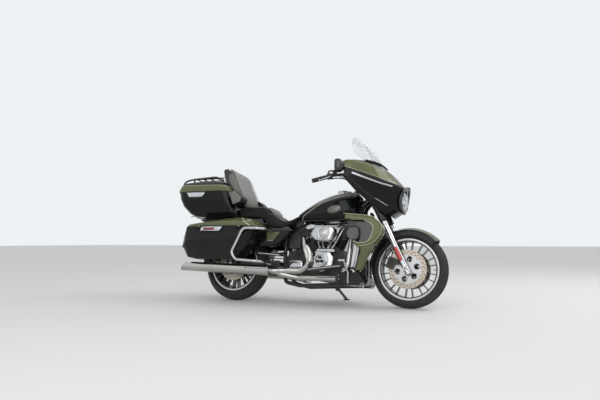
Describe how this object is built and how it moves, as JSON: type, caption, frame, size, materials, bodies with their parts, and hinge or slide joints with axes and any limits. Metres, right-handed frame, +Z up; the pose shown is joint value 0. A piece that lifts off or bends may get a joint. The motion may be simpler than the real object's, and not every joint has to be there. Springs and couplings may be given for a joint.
{
  "type": "touring cruiser motorcycle",
  "caption": "Full-dress touring motorcycle on its side stand, with a fork-mounted fairing, V-twin engine, hard saddlebags, a trunk with a backrest and lower leg fairings",
  "frame": {"origin": "on the ground under the middle of the bounding box", "axes": "+X forward along the machine, +Y to the rider's left, +Z up; the machine is leaned onto its side stand"},
  "size_m": [2.5439, 0.9848, 1.4759],
  "materials": {
    "frame_black": "semi-gloss black enamel",
    "engine_black": "black engine enamel",
    "engine_chrome": "polished",
    "exhaust_chrome": "polished, slightly warm",
    "body_paint": "deep gloss black-green",
    "trim_chrome": "polished",
    "leather": "smooth black",
    "axle_steel": "brushed",
    "bag_paint": "deep gloss black-green",
    "dash_black": "satin black",
    "rack_black": "gloss black",
    "lamp_red": "clear red lens",
    "control_black": "satin black",
    "fork_chrome": "polished",
    "caliper_black": "black coated",
    "clear_screen": "clear",
    "lamp_clear": "clear lens",
    "tyre_rubber": "black",
    "wheel_black": "gloss black cast",
    "disc_steel": "brushed, drilled",
    "belt_rubber": "black ribbed belt"
  },
  "bodies": {
    "chassis": {"frame": "frame_black", "crankcase": "engine_black", "gearbox": "engine_black", "cylinders": "engine_black", "rocker_covers": "engine_chrome", "pushrod_tubes": "engine_chrome", "cam_cover": "engine_chrome", "primary_cover": "engine_black", "air_cleaner": "engine_chrome", "exhaust_headers": "exhaust_chrome", "mufflers": "exhaust_chrome", "fuel_tank": "body_paint", "tank_console": "trim_chrome", "seat": "leather", "side_covers": "body_paint", "rear_fender": "body_paint", "swingarm": "frame_black", "drive_belt": "belt_rubber", "rear_caliper": "caliper_black", "shocks": "frame_black", "rear_axle": "axle_steel", "saddlebag_right": "bag_paint", "saddlebag_left": "bag_paint", "bag_guards": "trim_chrome", "rear_lamps": "lamp_red", "trunk_box": "bag_paint", "armrests": "leather", "leg_fairings": "bag_paint", "leg_panels": "dash_black", "cooler_shroud": "frame_black", "battery_box": "frame_black", "engine_guard": "trim_chrome", "footboards": "control_black", "foot_levers": "trim_chrome", "plate_bracket": "frame_black"},
    "steered_front": {"fork_yokes": "frame_black", "fork_legs": "fork_chrome", "front_axle": "axle_steel", "front_calipers": "caliper_black", "front_fender": "body_paint", "outer_fairing": "bag_paint", "inner_fairing": "dash_black", "windshield": "clear_screen", "headlamp": "lamp_clear", "fairing_strips": "trim_chrome", "handlebar": "control_black", "mirrors": "control_black"},
    "front_wheel_body": {"front_tyre": "tyre_rubber", "front_wheel": "wheel_black", "front_discs": "disc_steel"},
    "rear_wheel_body": {"rear_tyre": "tyre_rubber", "rear_wheel": "wheel_black", "rear_disc": "disc_steel", "rear_pulley": "wheel_black"},
    "trunk_lid_body": {"trunk_lid": "bag_paint", "luggage_rack": "rack_black", "backrest": "leather"},
    "bag_lid_right_body": {"bag_lid_right": "bag_paint"},
    "bag_lid_left_body": {"bag_lid_left": "bag_paint"},
    "side_stand_body": {"side_stand": "frame_black"}
  },
  "joints": [
    {"name": "steering", "type": "hinge", "parent": "chassis", "child": "steered_front", "pos_m": [0.66427, 0.00953, 0.92806], "axis": [-0.4391, 0.125, 0.8897], "range_deg": [-32, 40]},
    {"name": "front_wheel_spin", "type": "hinge", "parent": "steered_front", "child": "front_wheel_body", "pos_m": [0.95136, -0.07542, 0.31712], "axis": [0.0627, 0.9921, -0.1085], "continuous": true},
    {"name": "rear_wheel_spin", "type": "hinge", "parent": "chassis", "child": "rear_wheel_body", "pos_m": [-0.67367, -0.07532, 0.32431], "axis": [0, 0.9903, -0.1392], "continuous": true},
    {"name": "trunk_lid_hinge", "type": "hinge", "parent": "chassis", "child": "trunk_lid_body", "pos_m": [-0.97422, 0.31052, 0.94288], "axis": [-1, -0.0001, -0.0008], "range_deg": [0, 80]},
    {"name": "bag_lid_right_hinge", "type": "hinge", "parent": "chassis", "child": "bag_lid_right_body", "pos_m": [-0.67392, -0.43273, 0.68406], "axis": [1, 0.0001, 0.0008], "range_deg": [0, 75]},
    {"name": "bag_lid_left_hinge", "type": "hinge", "parent": "chassis", "child": "bag_lid_left_body", "pos_m": [-0.67392, 0.3674, 0.5716], "axis": [-1, -0.0001, -0.0008], "range_deg": [0, 75]},
    {"name": "side_stand_fold", "type": "hinge", "parent": "chassis", "child": "side_stand_body", "pos_m": [0.27648, 0.06843, 0.12566], "axis": [-0.0701, 0.5059, 0.8598], "range_deg": [0, 88.1]}
  ]
}
